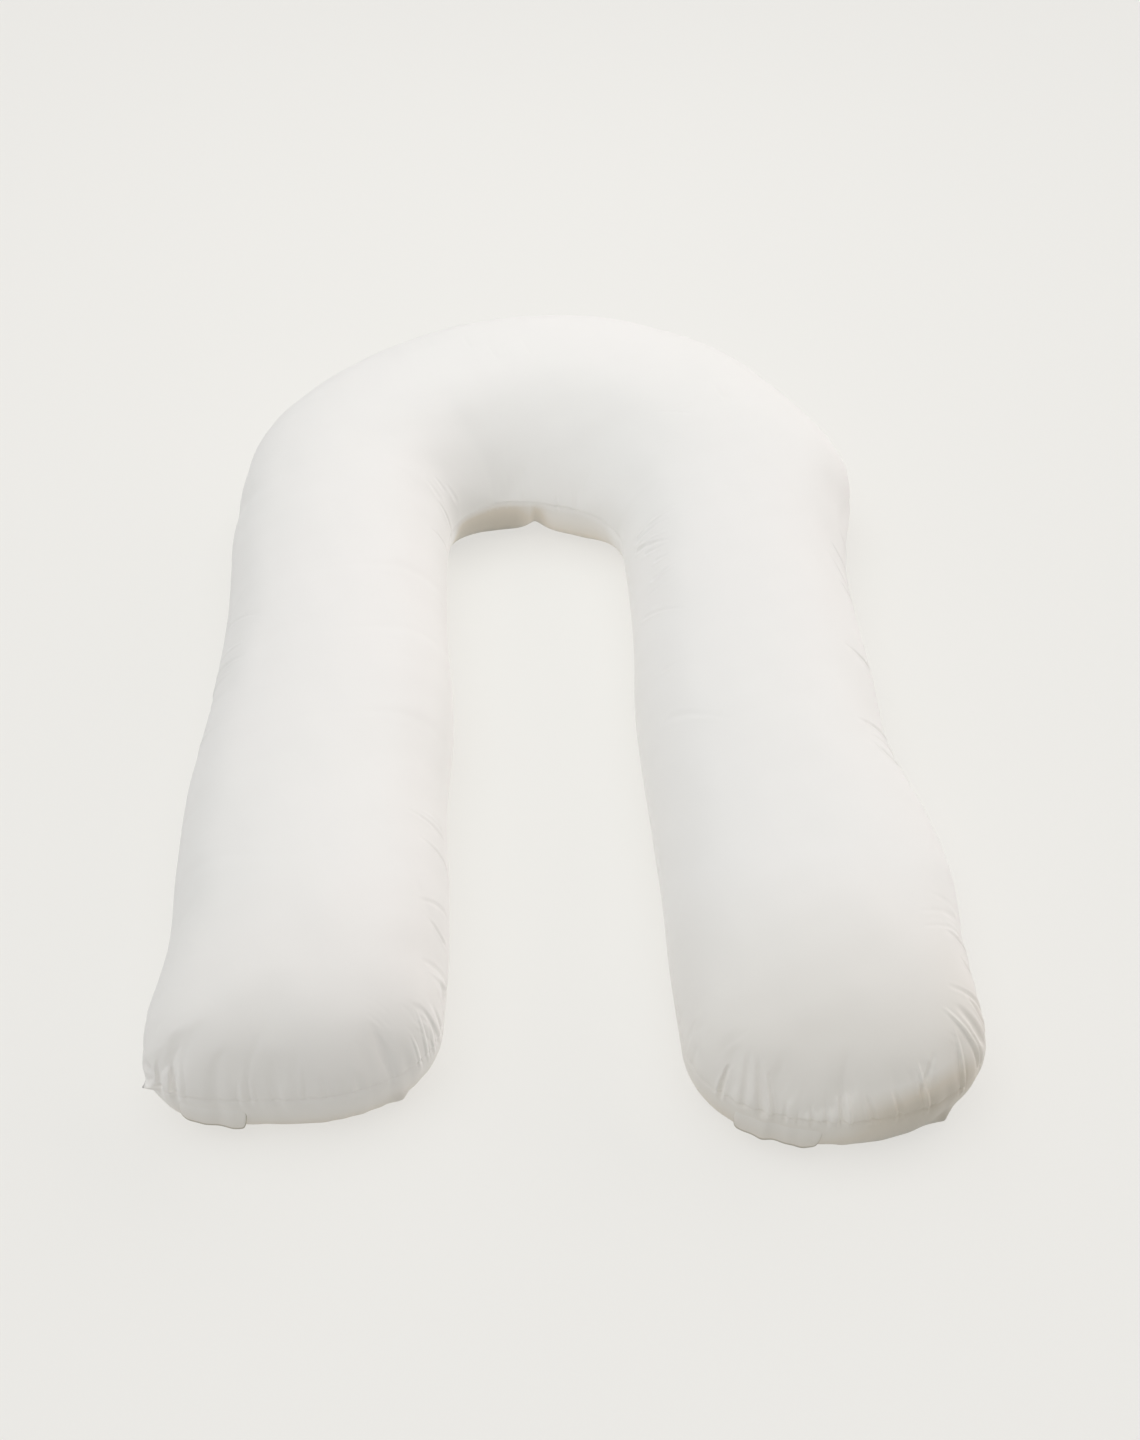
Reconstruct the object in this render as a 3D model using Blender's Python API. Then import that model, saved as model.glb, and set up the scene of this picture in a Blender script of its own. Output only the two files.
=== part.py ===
# A U-shaped body pillow lying on a flat surface: one filled cotton shell with two legs and a bend,
# and at the tip of each leg the short lip where the filling opening was folded in and sewn shut.
# Metres, +Z up. X runs across the legs, the legs point along -Y, and the underside lies on z = 0.

import math
from collections import namedtuple

import bmesh
import bpy
from mathutils import Vector

# The seam between the two panels, and how far the lower panel draws in from it to where it rests
SeamShape = namedtuple("SeamShape", "height tuck")
LEG_SEAM = SeamShape(0.066, 0.045)
TIP_SEAM = SeamShape(0.072, 0.022)
INNER_BEND_SEAM = SeamShape(0.075, 0.043)
SEAM_DRAW = 0.003        # the thread pulls the seam in by this much
CROWN_SHAPE = 2.25       # 2 is an ellipse, more gives a fuller crown
INNER_BEND_SHAPE = 1.5   # less: the crown of the inner bend runs down to a sharper edge

# Plan of the seam. Each row is one section across the pillow.
LegRow = namedtuple("LegRow", "y outer_x inner_x crown")
LEFT_LEG = [
    LegRow(-0.570, -0.441, -0.125, 0.186),
    LegRow(-0.480, -0.432, -0.123, 0.187),
    LegRow(-0.380, -0.440, -0.127, 0.186),
    LegRow(-0.260, -0.446, -0.135, 0.182),
    LegRow(-0.110, -0.439, -0.133, 0.180),
    LegRow(0.050, -0.440, -0.149, 0.180),
]
BEND_CENTRE = Vector((-0.026, 0.216))
BendRow = namedtuple("BendRow", "degrees outer_radius inner_radius crown")
BEND = [
    BendRow(180, 0.427, 0.129, 0.184),
    BendRow(155, 0.453, 0.124, 0.186),
    BendRow(130, 0.460, 0.105, 0.187),
    BendRow(105, 0.483, 0.085, 0.187),
    BendRow(80, 0.494, 0.076, 0.187),
    BendRow(55, 0.482, 0.080, 0.187),
    BendRow(34, 0.461, 0.092, 0.186),
    BendRow(16, 0.451, 0.102, 0.184),
    BendRow(0, 0.422, 0.110, 0.183),
]
RIGHT_LEG = [
    LegRow(0.110, 0.385, 0.092, 0.181),
    LegRow(0.010, 0.390, 0.094, 0.180),
    LegRow(-0.090, 0.396, 0.092, 0.180),
    LegRow(-0.185, 0.387, 0.097, 0.182),
    LegRow(-0.245, 0.409, 0.102, 0.183),
    LegRow(-0.320, 0.432, 0.108, 0.184),
    LegRow(-0.400, 0.445, 0.114, 0.186),
    LegRow(-0.490, 0.442, 0.118, 0.187),
    LegRow(-0.590, 0.448, 0.126, 0.187),
]

# Rounded leg tips: how far they reach past the last section, and how square their corners are
TipShape = namedtuple("TipShape", "reach left_squareness right_squareness")
LEFT_TIP = TipShape(0.096, 3.6, 2.0)
RIGHT_TIP = TipShape(0.104, 2.1, 1.95)

# Towards the tips the crown falls in a long dome: from where, to where, and how much of its height it loses
Dome = namedtuple("Dome", "start_y end_y loss")
TIP_DOME = Dome(-0.40, -0.67, 0.52)

# Folds in the upper panel: each runs from the seam inwards, in plan, and fades as it goes
Fold = namedtuple("Fold", "from_x from_y to_x to_y width depth")
FOLDS = [
    # right tip, from its inner corner round to its outer side
    Fold(0.160, -0.665, 0.168, -0.635, 0.007, 0.007),
    Fold(0.188, -0.690, 0.190, -0.645, 0.007, 0.005),
    Fold(0.206, -0.700, 0.203, -0.655, 0.007, 0.005),
    Fold(0.250, -0.705, 0.249, -0.680, 0.008, 0.004),
    Fold(0.286, -0.705, 0.275, -0.670, 0.008, 0.007),
    Fold(0.318, -0.700, 0.298, -0.670, 0.008, 0.005),
    Fold(0.345, -0.695, 0.315, -0.665, 0.008, 0.005),
    Fold(0.375, -0.690, 0.350, -0.650, 0.008, 0.006),
    Fold(0.415, -0.660, 0.375, -0.610, 0.009, 0.007),
    Fold(0.440, -0.600, 0.385, -0.545, 0.010, 0.006),
    Fold(0.445, -0.545, 0.380, -0.480, 0.012, 0.006),
    # left tip
    Fold(-0.425, -0.650, -0.405, -0.625, 0.008, 0.005),
    Fold(-0.400, -0.665, -0.392, -0.625, 0.008, 0.007),
    Fold(-0.324, -0.670, -0.322, -0.645, 0.008, 0.004),
    Fold(-0.224, -0.670, -0.225, -0.640, 0.008, 0.004),
    Fold(-0.155, -0.640, -0.180, -0.605, 0.009, 0.006),
    Fold(-0.128, -0.590, -0.160, -0.550, 0.012, 0.005),
    # inner corners of the bend
    Fold(-0.145, 0.265, -0.205, 0.275, 0.012, 0.005),
    Fold(-0.150, 0.225, -0.200, 0.205, 0.012, 0.005),
    Fold(0.090, 0.205, 0.170, 0.170, 0.012, 0.005),
    Fold(0.090, 0.155, 0.170, 0.110, 0.012, 0.004),
    # right leg: the crease across its inner side, and the two at the outer side where it turns out
    Fold(0.090, 0.035, 0.150, -0.025, 0.012, 0.005),
    Fold(0.400, -0.165, 0.350, -0.205, 0.012, 0.008),
    Fold(0.390, 0.060, 0.360, 0.090, 0.012, 0.004),
    # left leg: soft ones on both sides
    Fold(-0.445, -0.060, -0.395, -0.120, 0.014, 0.004),
    Fold(-0.120, -0.420, -0.150, -0.500, 0.014, 0.004),
]

# The gather at the middle of the inner bend, deepest where it meets the surface underneath
Gather = namedtuple("Gather", "x width depth")
BEND_GATHER = Gather(-0.034, 0.012, 0.018)

# Sewn-shut filling openings: where on each tip (180 is towards -X, 270 straight down the leg)
Lip = namedtuple("Lip", "first_degrees last_degrees")
LEFT_LIP = Lip(228, 252)
RIGHT_LIP = Lip(226, 259)
LIP_WIDTH = 0.010
LIP_THICKNESS = 0.003
LIP_GAP = 0.0003

# Spacing of the mesh
STATION_STEP = 0.022
TIP_RAYS = 54
UPPER_RINGS = 9
LOWER_RINGS = 3
LIP_RING = 1             # the lower ring that the lips follow
WELD = 0.00001

COTTON_WHITE = (0.86, 0.85, 0.83, 1.0)
HEM_WHITE = (0.80, 0.79, 0.77, 1.0)

Section = namedtuple("Section", "outer inner crown")
Ray = namedtuple("Ray", "middle edge crown shape seam tuck gather")


def clear_scene():
    for existing in list(bpy.data.objects):
        bpy.data.objects.remove(existing, do_unlink=True)


def cotton(name, colour):
    material = bpy.data.materials.new(name)
    material.use_nodes = True
    shader = material.node_tree.nodes["Principled BSDF"]
    shader.inputs["Base Color"].default_value = colour
    shader.inputs["Roughness"].default_value = 0.85
    shader.inputs["Metallic"].default_value = 0.0
    return material


def blend(start, end, share):
    return start + (end - start) * share


def table_sections():
    """The sections of the tables, from the left tip round the bend to the right tip."""
    def across_leg(row):
        return Section(Vector((row.outer_x, row.y)), Vector((row.inner_x, row.y)), row.crown)

    def across_bend(row):
        angle = math.radians(row.degrees)
        out = Vector((math.cos(angle), math.sin(angle)))
        return Section(BEND_CENTRE + out * row.outer_radius, BEND_CENTRE + out * row.inner_radius, row.crown)

    return [across_leg(r) for r in LEFT_LEG] + [across_bend(r) for r in BEND] + [across_leg(r) for r in RIGHT_LEG]


def slope(marks, values, i):
    before, after = max(i - 1, 0), min(i + 1, len(marks) - 1)
    return (values[after] - values[before]) / (marks[after] - marks[before])


def smooth_value(marks, values, mark):
    """Read the smooth curve through the values at the given mark."""
    i = max(k for k in range(len(marks) - 1) if marks[k] <= mark)
    span = marks[i + 1] - marks[i]
    t = (mark - marks[i]) / span
    start_pull = (t**3 - 2 * t**2 + t) * span * slope(marks, values, i)
    end_pull = (t**3 - t**2) * span * slope(marks, values, i + 1)
    return blend(values[i], values[i + 1], 3 * t**2 - 2 * t**3) + start_pull + end_pull


def even_sections():
    """Sections at even steps along the middle of the pillow, on smooth curves through the tables."""
    rows = table_sections()
    middles = [(row.outer + row.inner) / 2 for row in rows]
    marks = [0.0]
    for before, after in zip(middles, middles[1:]):
        marks.append(marks[-1] + (after - before).length)
    columns = list(zip(*[(*row.outer, *row.inner, row.crown) for row in rows]))
    count = round(marks[-1] / STATION_STEP)
    found = []
    for step in range(count + 1):
        outer_x, outer_y, inner_x, inner_y, crown = (
            smooth_value(marks, column, marks[-1] * step / count) for column in columns
        )
        found.append(Section(Vector((outer_x, outer_y)), Vector((inner_x, inner_y)), crown))
    return found


def outer_ray(section):
    return Ray((section.outer + section.inner) / 2, section.outer, section.crown, CROWN_SHAPE, *LEG_SEAM, 0.0)


def inner_ray(section):
    """At the inner bend the seam stands higher, the crown runs down to an edge and the wall is gathered."""
    across = (section.outer - section.inner).normalized()
    share = min(max(across.y * 1.6 - 0.3, 0.0), 1.0)
    shape = blend(CROWN_SHAPE, INNER_BEND_SHAPE, share)
    seam = blend(LEG_SEAM.height, INNER_BEND_SEAM.height, share)
    tuck = blend(LEG_SEAM.tuck, INNER_BEND_SEAM.tuck, share)
    off = (section.inner.x - BEND_GATHER.x) / BEND_GATHER.width
    gather = BEND_GATHER.depth * math.exp(-off * off) * share
    return Ray((section.outer + section.inner) / 2, section.inner, section.crown, shape, seam, tuck, gather)


def tip_ray(section, tip, degrees):
    """A ray of a leg tip: 180 degrees is towards -X, 270 straight down the leg and 360 towards +X."""
    middle = (section.outer + section.inner) / 2
    half_width = (section.outer - section.inner).length / 2
    across, along = math.cos(math.radians(degrees)), math.sin(math.radians(degrees))
    power = tip.left_squareness if across < 0 else tip.right_squareness
    scale = (abs(across) ** power + abs(along) ** power) ** (-1 / power)
    edge = middle + Vector((half_width * across, tip.reach * along)) * scale
    seam = blend(LEG_SEAM.height, TIP_SEAM.height, abs(along))
    tuck = blend(LEG_SEAM.tuck, TIP_SEAM.tuck, abs(along))
    return Ray(middle, edge, section.crown, CROWN_SHAPE, seam, tuck, 0.0)


def tip_degrees():
    """From the +X side of a tip round to its -X side."""
    return [360 - 180 * k / TIP_RAYS for k in range(1, TIP_RAYS)]


def seam_rays(sections):
    """Every ray from the middle of the pillow to its seam, once round the outline."""
    rays = [outer_ray(section) for section in sections]
    rays += [tip_ray(sections[-1], RIGHT_TIP, degrees) for degrees in tip_degrees()]
    rays += [inner_ray(section) for section in reversed(sections)]
    rays += [tip_ray(sections[0], LEFT_TIP, degrees) for degrees in tip_degrees()]
    return rays


def ring_levels():
    """From the crown over the seam to the middle of the underside, as (part, angle)."""
    upper = [("upper", math.pi / 2 * k / UPPER_RINGS) for k in range(UPPER_RINGS)]
    lower = [("lower", math.pi / 2 * k / LOWER_RINGS) for k in range(1, LOWER_RINGS + 1)]
    return upper + [("seam", 0.0)] + lower + [("underside", 0.0)]


def fold_depth(place, fold):
    start = Vector((fold.from_x, fold.from_y))
    run = Vector((fold.to_x, fold.to_y)) - start
    share = min(max((place - start).dot(run) / run.length_squared, 0.0), 1.0)
    off = (place - start - run * share).length / fold.width
    return fold.depth * math.exp(-off * off) * (1 - share)


def dome_share(y):
    """How much of its height above the seam the crown keeps at this place along the legs."""
    along = min(max((y - TIP_DOME.start_y) / (TIP_DOME.end_y - TIP_DOME.start_y), 0.0), 1.0)
    return 1 - TIP_DOME.loss * along**2


def surface_point(ray, level):
    part, angle = level
    spoke = ray.edge - ray.middle
    out = spoke.normalized()
    if part == "upper":
        reach = spoke.length * math.sin(angle) ** (2 / CROWN_SHAPE)
        rise = (ray.crown - ray.seam) * dome_share(ray.middle.y + out.y * reach)
        height = ray.seam + rise * math.cos(angle) ** (2 / ray.shape)
        depth = sum(fold_depth(ray.middle + out * reach, fold) for fold in FOLDS)
        reach -= depth * math.sin(angle)
        height -= depth * math.cos(angle)
    elif part == "seam":
        reach, height = spoke.length - SEAM_DRAW, ray.seam
    elif part == "lower":
        reach = spoke.length - ray.tuck * (1 - math.cos(angle)) - ray.gather * math.sin(angle)
        height = max(ray.seam * (1 - math.sin(angle)), 0.0)
    else:
        reach, height = 0.0, 0.0
    place = ray.middle + out * reach
    return Vector((place.x, place.y, height))


def make_pillow(sections, material):
    rays = seam_rays(sections)
    levels = ring_levels()
    bm = bmesh.new()
    bmesh.ops.create_grid(bm, x_segments=len(rays), y_segments=len(levels) - 1, size=0.5)
    for vert in bm.verts:
        ray = rays[round((vert.co.x + 0.5) * len(rays)) % len(rays)]
        level = levels[round((vert.co.y + 0.5) * (len(levels) - 1))]
        vert.co = surface_point(ray, level)
    bmesh.ops.remove_doubles(bm, verts=bm.verts, dist=WELD)
    return finish("pillow", bm, material)


def make_closing_lip(name, section, tip, lip, material):
    """A flat lip that stands out from the wall of a tip, along one of its rings."""
    degrees = [d for d in tip_degrees() if lip.first_degrees <= d <= lip.last_degrees]
    level = ("lower", math.pi / 2 * LIP_RING / LOWER_RINGS)
    bm = bmesh.new()
    bmesh.ops.create_grid(bm, x_segments=len(degrees) - 1, y_segments=1, size=0.5)
    for vert in bm.verts:
        ray = tip_ray(section, tip, degrees[round((vert.co.x + 0.5) * (len(degrees) - 1))])
        out = (ray.edge - ray.middle).normalized()
        distance = LIP_GAP if vert.co.y < 0 else LIP_GAP + LIP_WIDTH
        vert.co = surface_point(ray, level) + Vector((out.x, out.y, 0)) * distance
        vert.co.z -= LIP_THICKNESS / 2
    raised = bmesh.ops.extrude_face_region(bm, geom=bm.faces[:])["geom"]
    raised_verts = [item for item in raised if isinstance(item, bmesh.types.BMVert)]
    bmesh.ops.translate(bm, verts=raised_verts, vec=(0, 0, LIP_THICKNESS))
    return finish(name, bm, material)


def finish(name, bm, material):
    bmesh.ops.recalc_face_normals(bm, faces=bm.faces)
    mesh = bpy.data.meshes.new(name)
    bm.to_mesh(mesh)
    bm.free()
    mesh.materials.append(material)
    mesh.shade_smooth()
    made = bpy.data.objects.new(name, mesh)
    bpy.context.scene.collection.objects.link(made)
    return made


def centre_footprint(pieces):
    """Bring the middle of the footprint to the origin."""
    corners = [Vector(corner) for piece in pieces for corner in piece.bound_box]
    for axis in range(2):
        values = [corner[axis] for corner in corners]
        for piece in pieces:
            piece.location[axis] = -(min(values) + max(values)) / 2


def main():
    clear_scene()
    shell = cotton("shell_cotton", COTTON_WHITE)
    hem = cotton("topstitched_hem", HEM_WHITE)
    sections = even_sections()
    centre_footprint([
        make_pillow(sections, shell),
        make_closing_lip("closing_lip_left", sections[0], LEFT_TIP, LEFT_LIP, hem),
        make_closing_lip("closing_lip_right", sections[-1], RIGHT_TIP, RIGHT_LIP, hem),
    ])


main()
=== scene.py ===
# A U-shaped body pillow in white cotton percale over loose fibre, lying on a pale studio floor.
# Metres, +Z up. X runs across the two legs, the legs point along -Y, and the underside rests on z = 0.

import math

import bmesh
import bpy
import numpy as np
from mathutils import Matrix, Vector
from mathutils.bvhtree import BVHTree


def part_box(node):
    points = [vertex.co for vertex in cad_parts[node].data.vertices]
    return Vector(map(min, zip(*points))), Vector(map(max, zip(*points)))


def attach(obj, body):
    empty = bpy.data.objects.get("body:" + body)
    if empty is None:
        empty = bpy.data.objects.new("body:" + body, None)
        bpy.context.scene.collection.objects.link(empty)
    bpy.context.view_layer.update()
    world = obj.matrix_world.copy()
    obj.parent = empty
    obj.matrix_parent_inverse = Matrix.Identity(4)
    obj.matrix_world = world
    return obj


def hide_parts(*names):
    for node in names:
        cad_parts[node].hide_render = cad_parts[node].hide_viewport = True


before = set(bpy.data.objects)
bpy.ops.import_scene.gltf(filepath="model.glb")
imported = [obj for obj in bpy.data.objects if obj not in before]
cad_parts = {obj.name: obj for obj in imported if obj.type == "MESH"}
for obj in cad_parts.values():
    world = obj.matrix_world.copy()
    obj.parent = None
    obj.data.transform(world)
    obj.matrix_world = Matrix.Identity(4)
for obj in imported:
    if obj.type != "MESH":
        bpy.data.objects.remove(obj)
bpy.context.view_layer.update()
millimetre = 0.001
weldDistance = 0.00001

# The plan of the seam, one row for each section across the pillow
plan = {
    "leftLeg": [  # y, outer x, inner x, height of the crown
        (-0.570, -0.441, -0.125, 0.186),
        (-0.480, -0.432, -0.123, 0.187),
        (-0.380, -0.440, -0.127, 0.186),
        (-0.260, -0.446, -0.135, 0.182),
        (-0.110, -0.439, -0.133, 0.180),
        (0.050, -0.440, -0.149, 0.180),
    ],
    "bendCentre": (-0.026, 0.216),
    "bend": [  # degrees, outer radius, inner radius, height of the crown
        (180, 0.427, 0.129, 0.184),
        (155, 0.453, 0.124, 0.186),
        (130, 0.460, 0.105, 0.187),
        (105, 0.483, 0.085, 0.187),
        (80, 0.494, 0.076, 0.187),
        (55, 0.482, 0.080, 0.187),
        (34, 0.461, 0.092, 0.186),
        (16, 0.456, 0.102, 0.184),
        (0, 0.422, 0.110, 0.183),
    ],
    "rightLeg": [  # y, outer x, inner x, height of the crown
        (0.110, 0.385, 0.092, 0.181),
        (0.010, 0.390, 0.094, 0.180),
        (-0.090, 0.396, 0.092, 0.180),
        (-0.185, 0.399, 0.097, 0.182),
        (-0.245, 0.411, 0.102, 0.183),
        (-0.320, 0.432, 0.108, 0.184),
        (-0.400, 0.445, 0.114, 0.186),
        (-0.490, 0.442, 0.118, 0.187),
        (-0.590, 0.448, 0.126, 0.187),
    ],
    "leftTip": (0.096, 3.6, 2.0),     # reach past the last section, squareness of its two corners
    "rightTip": (0.104, 2.1, 1.95),
    "leftDome": (-0.42, -0.67, 0.36),   # from y, to y, and how much of its height the crown loses on the way
    "rightDome": (-0.44, -0.70, 0.68),
}

# How the two panels are cut and sewn
cover = {
    "legSeam": (0.066, 0.045),        # height of the seam, and how far the lower panel tucks in under it
    "tipSeam": (0.072, 0.022),
    "bendSeam": (0.075, 0.043),
    "bendStart": (1.6, 0.3),          # how fast and how late the legs' seam turns into the inner bend's
    "crownShape": 2.25,               # 2 is an ellipse, more is fuller
    "bendShape": 1.06,                # less: the crown of the inner bend runs down to a sharper edge
    "cornerTuck": 0.012,              # more at the two ends of the wall of the inner bend
    "seamDraw": 0.003,                # the thread pulls the seam in by this much
    "seamGroove": (0.0008, 0.008),    # the line it leaves: depth, and width as a share of the panel
    "puckerReach": 0.09,              # how far from the seam its small puckers reach, as such a share
    "bendGather": (-0.034, 0.011, 0.025),   # x, width and depth of the gather in the inner bend
    "typicalCrown": (0.160, 0.115),   # half its width and its height, so that the rings are spaced evenly
    "sectionStep": 0.011,
    "raysPerTip": 110,
    "upperRings": 20,
    "lowerRings": 6,
    "undersideRings": 5,
    "nearSeam": (0.55, 0.80),         # two more rings in the last step above the seam
    # round the start of each tip: how far, averaged over, up to which place in the panel, and fading over
    "easing": (0.085, 0.032, 0.85, 0.25),
}

# How the fibre filling swells the cover: a short run of cloth under pressure
filling = {
    "pressure": 4.0,
    "frames": 20,
    "legEase": 0.006,                 # spare cloth on the legs, as a share of the cut
    "tipEase": 0.13,                  # spare cloth gathered into the seam round the tips
    "gathered": 0.32,                 # how much of the way up from the seam it lies
    "mostMove": 0.012,
    "crownKept": (0.35, 0.65),        # the crown stays as cut up to the first place, free from the other
    # waves, their range and height: to start the gathers at the tips, and for the finished cover
    "ripple": (10, (90, 330), 0.0004),
    "uneven": (14, (40, 130), 0.00012),
    "seed": 7,
}


def smoothThrough(marks, rows, places):
    # smooth curves through the rows, read at each place along them
    last = len(marks) - 1
    before = np.maximum(np.arange(last + 1) - 1, 0)
    after = np.minimum(np.arange(last + 1) + 1, last)
    slopes = (rows[after] - rows[before]) / (marks[after] - marks[before])[:, None]
    i = np.clip(np.searchsorted(marks, places, side="right") - 1, 0, last - 1)
    span = (marks[i + 1] - marks[i])[:, None]
    t = (places - marks[i])[:, None] / span
    ends = (2 * t**3 - 3 * t**2 + 1) * rows[i] + (3 * t**2 - 2 * t**3) * rows[i + 1]
    return ends + (t**3 - 2 * t**2 + t) * span * slopes[i] + (t**3 - t**2) * span * slopes[i + 1]


def sectionsAlongPillow():
    rows = [(outer, y, inner, y, crown) for y, outer, inner, crown in plan["leftLeg"]]
    centreX, centreY = plan["bendCentre"]
    for degrees, outer, inner, crown in plan["bend"]:
        east, north = math.cos(math.radians(degrees)), math.sin(math.radians(degrees))
        rows.append((
            centreX + outer * east, centreY + outer * north,
            centreX + inner * east, centreY + inner * north, crown,
        ))
    rows += [(outer, y, inner, y, crown) for y, outer, inner, crown in plan["rightLeg"]]
    rows = np.array(rows)
    middles = (rows[:, 0:2] + rows[:, 2:4]) / 2
    marks = np.append(0, np.cumsum(np.linalg.norm(np.diff(middles, axis=0), axis=1)))
    count = round(marks[-1] / cover["sectionStep"])
    return smoothThrough(marks, rows, np.linspace(0, marks[-1], count + 1))


def mix(a, b, share):
    return a + (b - a) * share


def legRay(section, innerSide):
    outer, inner = section[0:2], section[2:4]
    middle = (outer + inner) / 2
    if not innerSide:
        return (*middle, *outer, section[4], *cover["legSeam"], 0, 0, 0)
    across = (outer - inner) / np.linalg.norm(outer - inner)
    rise, late = cover["bendStart"]
    bendShare = min(max(across[1] * rise - late, 0), 1)   # the wall of the inner bend is higher and steeper
    seam = mix(cover["legSeam"][0], cover["bendSeam"][0], bendShare)
    tuck = mix(cover["legSeam"][1], cover["bendSeam"][1], bendShare)
    tuck += cover["cornerTuck"] * 4 * bendShare * (1 - bendShare)
    gatherX, gatherWidth, gatherDepth = cover["bendGather"]
    gather = gatherDepth * math.exp(-(abs(inner[0] - gatherX) / gatherWidth) ** 1.1) * bendShare
    return (*middle, *inner, section[4], seam, tuck, gather, 0, bendShare)


def tipRay(section, tip, degrees):
    # 180 degrees is towards -X, 270 straight down the leg and 360 towards +X
    reach, leftSquareness, rightSquareness = plan[tip]
    middle = (section[0:2] + section[2:4]) / 2
    halfWidth = np.linalg.norm(section[0:2] - section[2:4]) / 2
    east, north = math.cos(math.radians(degrees)), math.sin(math.radians(degrees))
    power = leftSquareness if east < 0 else rightSquareness
    scale = (abs(east) ** power + abs(north) ** power) ** (-1 / power)
    edge = middle + np.array([halfWidth * east, reach * north]) * scale
    seam = mix(cover["legSeam"][0], cover["tipSeam"][0], abs(north))
    tuck = mix(cover["legSeam"][1], cover["tipSeam"][1], abs(north))
    return (*middle, *edge, section[4], seam, tuck, 0, abs(north), 0)


def raysRoundOutline(sections):
    # rays from the middle of the pillow to its seam, once round; also the group that each tip ray is in
    tipDegrees = [360 - 180 * k / cover["raysPerTip"] for k in range(1, cover["raysPerTip"])]
    rays = [legRay(s, False) for s in sections]
    rays += [tipRay(sections[-1], "rightTip", d) for d in tipDegrees]
    rays += [legRay(s, True) for s in sections[::-1]]
    rays += [tipRay(sections[0], "leftTip", d) for d in tipDegrees]
    tipStarts = [len(sections), 2 * len(sections) + len(tipDegrees)]
    return np.array(rays), [(start, start + len(tipDegrees)) for start in tipStarts]


def ringsOverPillow():
    # from the crown over the seam to the middle of the underside: kind, turn or share, place in the panels
    turns = np.radians(np.arange(0, 90.1, 0.25))
    power = 2 / cover["crownShape"]
    halfWidth, height = cover["typicalCrown"]
    across, up = halfWidth * np.sin(turns) ** power, height * np.cos(turns) ** power
    walked = np.append(0, np.cumsum(np.hypot(np.diff(across), np.diff(up))))
    walked /= walked[-1]
    count = cover["upperRings"]
    shares = [k / count for k in range(count)] + [1 - (1 - s) / count for s in cover["nearSeam"]]
    rings = [("upper", float(np.interp(s, walked, turns)), s) for s in shares]
    rings.append(("seam", 0, 1))
    for share in [0.04] + [k / cover["lowerRings"] for k in range(1, cover["lowerRings"] + 1)]:
        rings.append(("lower", math.pi / 2 * share, 1 + share / 2))
    for k in range(1, cover["undersideRings"] + 1):
        share = k / cover["undersideRings"]
        rings.append(("underside", 1 - share, 1.5 + share / 2))
    return rings


def coverPlace(ray, ring):
    middleX, middleY, edgeX, edgeY, crown, seam, tuck, gather, tipShare, bendShare = ray
    kind, turn, panel = ring
    length = math.hypot(edgeX - middleX, edgeY - middleY)
    east, north = (edgeX - middleX) / length, (edgeY - middleY) / length
    if kind == "upper":
        reach = length * math.sin(turn) ** (2 / cover["crownShape"])
        domeFrom, domeTo, domeLoss = plan["leftDome" if middleX < 0 else "rightDome"]
        along = min(max((middleY + north * reach - domeFrom) / (domeTo - domeFrom), 0), 1)
        shape = mix(cover["crownShape"], cover["bendShape"], bendShare)
        height = seam + (crown - seam) * (1 - domeLoss * along**2.5) * math.cos(turn) ** (2 / shape)
    elif kind == "seam":
        reach, height = length - cover["seamDraw"], seam
    elif kind == "lower":
        reach = length - tuck * (1 - math.cos(turn)) - gather * math.sin(turn)
        height = max(seam * (1 - math.sin(turn)), 0)
    else:
        reach, height = (length - tuck - gather) * turn, 0
    return Vector((middleX + east * reach, middleY + north * reach, height))


def groupSize(ringIndex, ringCount):
    # tip rays run together towards their pole, so that the cloth there has an even mesh
    fromPole = min(ringIndex, (ringCount - 1 - ringIndex) * 2)
    return 8 if fromPole <= 1 else 4 if fromPole <= 3 else 2 if fromPole <= 7 else 1


def sewCover():
    sections = sectionsAlongPillow()
    rays, tips = raysRoundOutline(sections)
    rings = ringsOverPillow()
    rayCount, ringCount = len(rays), len(rings)
    places = [[coverPlace(ray, ring) for ring in rings] for ray in rays]
    cloth = bmesh.new()
    cutMap = cloth.loops.layers.uv.new("clothCut")
    panelLayer = cloth.verts.layers.float.new("panel")
    tipLayer = cloth.verts.layers.float.new("tip")
    bendLayer = cloth.verts.layers.float.new("bend")
    bmesh.ops.create_grid(cloth, x_segments=rayCount, y_segments=ringCount - 1, size=0.5)
    flat = {}
    for vert in cloth.verts:
        rayIndex = round((vert.co.x + 0.5) * rayCount) % rayCount
        ringIndex = round((vert.co.y + 0.5) * (ringCount - 1))
        for first, last in tips:
            if first <= rayIndex < last:
                size = groupSize(ringIndex, ringCount)
                rayIndex = first + (rayIndex - first) // size * size
        vert[panelLayer] = rings[ringIndex][2]
        vert[tipLayer] = rays[rayIndex][8]
        vert[bendLayer] = rays[rayIndex][9]
        vert.co = places[rayIndex][ringIndex]
        flat[vert] = cutPlace(rays[rayIndex], places[rayIndex], ringIndex)
    for face in cloth.faces:
        for loop in face.loops:
            loop[cutMap].uv = flat[loop.vert]
    bmesh.ops.remove_doubles(cloth, verts=cloth.verts, dist=weldDistance)
    easeTipsIn(cloth, sections, panelLayer)
    # the crowns' poles at the tips meet only once they are eased
    bmesh.ops.remove_doubles(cloth, verts=cloth.verts, dist=weldDistance)
    bmesh.ops.recalc_face_normals(cloth, faces=cloth.faces)
    return finishPiece("filled_pillow", cloth)


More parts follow.
